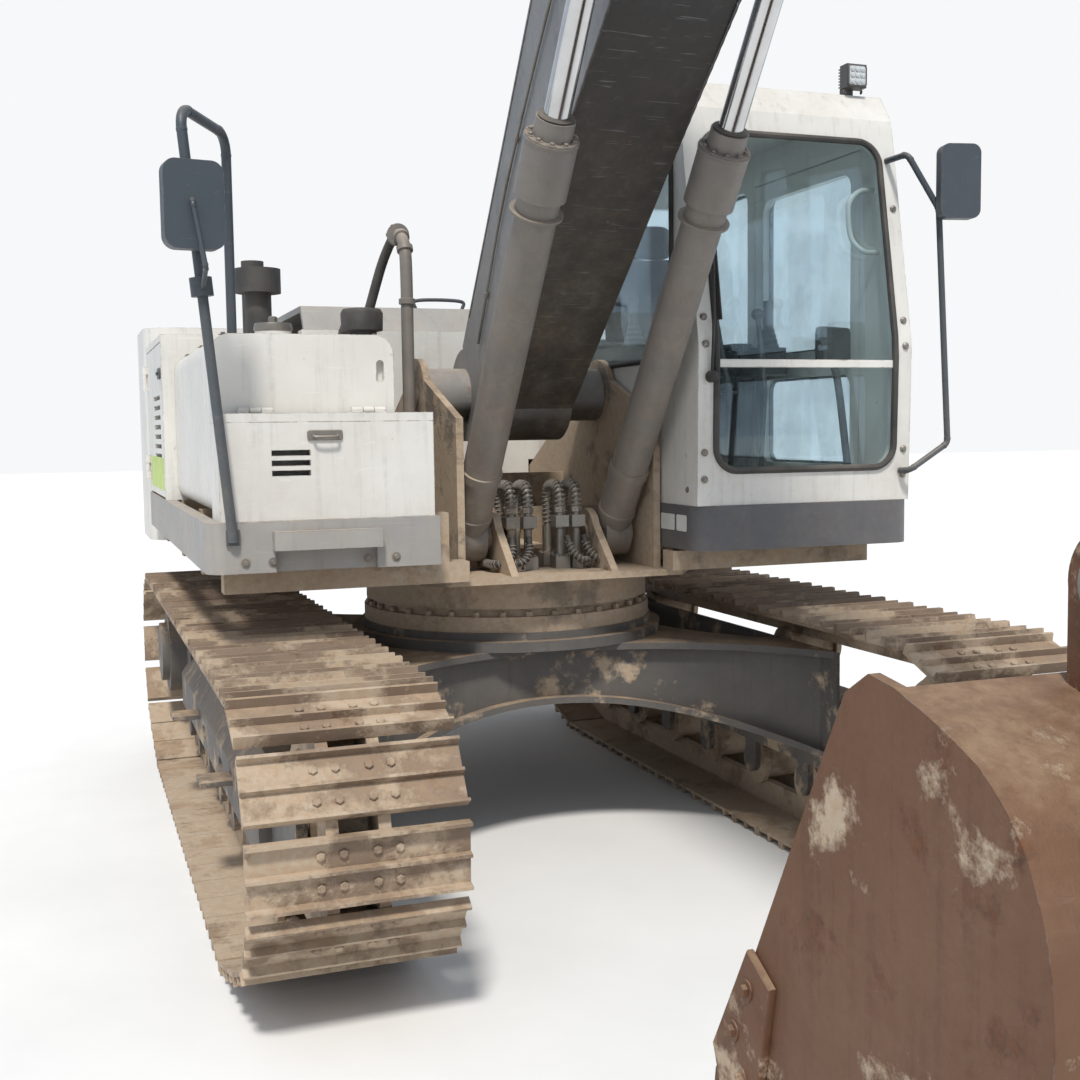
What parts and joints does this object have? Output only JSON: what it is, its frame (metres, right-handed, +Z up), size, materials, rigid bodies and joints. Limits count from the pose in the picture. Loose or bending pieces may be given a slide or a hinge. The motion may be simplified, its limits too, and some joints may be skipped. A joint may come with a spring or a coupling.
{
  "type": "crawler excavator",
  "caption": "Crawler excavator of the twenty tonne class with tracks, swinging upper structure, cab, boom, arm and bucket, parked with the teeth on the ground.",
  "frame": {"origin": "on the ground under the middle of the machine's overall length and width, as parked with the arm in front", "axes": "+Z up, +Y to the machine's rear, +X to the operator's left, the cab side"},
  "size_m": [3.0264, 8.9742, 4.4078],
  "materials": {
    "white_paint": "scuffed off-white paint",
    "grey_paint": "scuffed mid-grey paint",
    "frame_paint": "grey paint under dried tan mud",
    "track_steel": "worn steel with rust and dust",
    "bucket_steel": "rusty steel with mud",
    "boom_paint": "grey paint, dusty",
    "cylinder_paint": "dark grey paint, dusty",
    "rod_chrome": "polished, slightly dusty",
    "glass": "clear with a light blue tint",
    "cab_trim": "black moulded trim",
    "seat_fabric": "woven black cloth",
    "engine_iron": "dark cast iron",
    "lamp": "lamp housing with a clear front",
    "black_rubber": "black rubber and plastic",
    "tube_steel": "dark grey painted tube",
    "pipe_steel": "bare steel pipe, dusty"
  },
  "bodies": {
    "undercarriage": {"car_body": "frame_paint", "swing_bearing": "frame_paint", "track_frames": "frame_paint", "track_left": "track_steel", "track_right": "track_steel", "idlers": "track_steel", "sprockets": "track_steel", "carrier_rollers": "track_steel", "track_rollers": "track_steel", "travel_motors": "frame_paint"},
    "upper_structure": {"main_frame": "frame_paint", "counterweight": "white_paint", "engine": "engine_iron", "side_panels": "white_paint", "fuel_tank": "white_paint", "toolbox": "white_paint", "deck_skirts": "grey_paint", "cab_shell": "white_paint", "cab_glass": "glass", "cab_skirt": "grey_paint", "seat": "seat_fabric", "consoles": "cab_trim", "travel_levers": "cab_trim", "handrails": "tube_steel", "mirrors": "tube_steel", "work_lamps": "lamp", "air_intake": "black_rubber", "front_pipes": "pipe_steel"},
    "hood": {"engine_hood": "grey_paint"},
    "left_door": {"left_side_door": "white_paint"},
    "right_door": {"right_side_door": "white_paint"},
    "lid": {"toolbox_lid": "white_paint"},
    "cab_door": {"cab_door": "white_paint", "cab_door_glass": "glass"},
    "boom": {"boom": "boom_paint", "boom_pipes": "pipe_steel"},
    "boom_barrels": {"boom_barrels": "cylinder_paint"},
    "boom_rods": {"boom_rods": "rod_chrome"},
    "arm": {"arm": "boom_paint"},
    "arm_barrel": {"arm_barrel": "cylinder_paint"},
    "arm_rod": {"arm_rod": "rod_chrome"},
    "bucket_barrel": {"bucket_barrel": "cylinder_paint"},
    "bucket_rod": {"bucket_rod": "rod_chrome"},
    "rocker": {"rocker": "boom_paint"},
    "bucket": {"bucket": "bucket_steel"},
    "bucket_link": {"bucket_link": "boom_paint"}
  },
  "joints": [
    {"name": "swing", "type": "hinge", "parent": "undercarriage", "child": "upper_structure", "pos_m": [0, 1.73724, 1], "axis": [0, 0, 1], "continuous": true},
    {"name": "boom_lift", "type": "hinge", "parent": "upper_structure", "child": "boom", "pos_m": [0, 1.63724, 1.8], "axis": [-1, 0, 0], "range_deg": [-60, 41.8]},
    {"name": "boom_barrel_pivot", "type": "hinge", "parent": "upper_structure", "child": "boom_barrels", "pos_m": [0, 1.29724, 1.235], "axis": [-1, 0, 0], "range_deg": [-57, 39.71]},
    {"name": "boom_rod_slide", "type": "slide", "parent": "boom_barrels", "child": "boom_rods", "axis": [0, -0.595, 0.8038], "range_m": [-0.577, 0.4023]},
    {"name": "arm_crowd", "type": "hinge", "parent": "boom", "child": "arm", "pos_m": [0, -3.6934, 3.76129], "axis": [1, 0, 0], "range_deg": [-115, 8]},
    {"name": "arm_barrel_pivot", "type": "hinge", "parent": "boom", "child": "arm_barrel", "pos_m": [0, -0.68995, 4.30782], "axis": [1, 0, 0], "range_deg": [-3.45, 0.24]},
    {"name": "arm_rod_slide", "type": "slide", "parent": "arm_barrel", "child": "arm_rod", "axis": [0, -0.9999, -0.0135], "range_m": [-1.4261, 0.1001]},
    {"name": "bucket_curl", "type": "hinge", "parent": "arm", "child": "bucket", "pos_m": [0, -1.98532, 1.39299], "axis": [1, 0, 0], "range_deg": [-30, 140]},
    {"name": "bucket_barrel_pivot", "type": "hinge", "parent": "arm", "child": "bucket_barrel", "pos_m": [0, -3.91681, 3.04534], "axis": [1, 0, 0], "range_deg": [-0.6, 2.8]},
    {"name": "bucket_rod_slide", "type": "slide", "parent": "bucket_barrel", "child": "bucket_rod", "axis": [0, 0.5759, -0.8175], "range_m": [-0.2, 0.9295]},
    {"name": "rocker_pivot", "type": "hinge", "parent": "arm", "child": "rocker", "pos_m": [0, -2.27967, 1.69854], "axis": [1, 0, 0], "range_deg": [-21, 98]},
    {"name": "link_pivot", "type": "hinge", "parent": "bucket", "child": "bucket_link", "pos_m": [0, -2.41378, 1.25542], "axis": [1, 0, 0], "range_deg": [-98, 21]},
    {"name": "cab_door_hinge", "type": "hinge", "parent": "upper_structure", "child": "cab_door", "pos_m": [1.369, 1.89724, 2], "axis": [0, 0, 1], "range_deg": [0, 165]},
    {"name": "engine_hood_hinge", "type": "hinge", "parent": "upper_structure", "child": "hood", "pos_m": [0, 3.48724, 2.264], "axis": [-1, 0, 0], "range_deg": [0, 75]},
    {"name": "left_side_door_hinge", "type": "hinge", "parent": "upper_structure", "child": "left_door", "pos_m": [1.365, 3.44724, 1.7], "axis": [0, 0, 1], "range_deg": [0, 90]},
    {"name": "right_side_door_hinge", "type": "hinge", "parent": "upper_structure", "child": "right_door", "pos_m": [-1.365, 3.44724, 1.7], "axis": [0, 0, -1], "range_deg": [0, 90]},
    {"name": "toolbox_lid_hinge", "type": "hinge", "parent": "upper_structure", "child": "lid", "pos_m": [-0.95, 1.02324, 1.734], "axis": [-1, 0, 0], "range_deg": [0, 80]}
  ],
  "couplings": [
    {"joint": "boom_barrel_pivot", "follows": "boom_lift", "ratio": 0.95},
    {"joint": "boom_rod_slide", "follows": "boom_lift", "m_per_rad": 0.55},
    {"joint": "arm_barrel_pivot", "follows": "arm_crowd", "ratio": 0.03},
    {"joint": "arm_rod_slide", "follows": "arm_crowd", "m_per_rad": 0.71},
    {"joint": "bucket_barrel_pivot", "follows": "bucket_curl", "ratio": 0.02},
    {"joint": "bucket_rod_slide", "follows": "bucket_curl", "m_per_rad": 0.38},
    {"joint": "rocker_pivot", "follows": "bucket_curl", "ratio": 0.7},
    {"joint": "link_pivot", "follows": "bucket_curl", "ratio": -0.7}
  ]
}
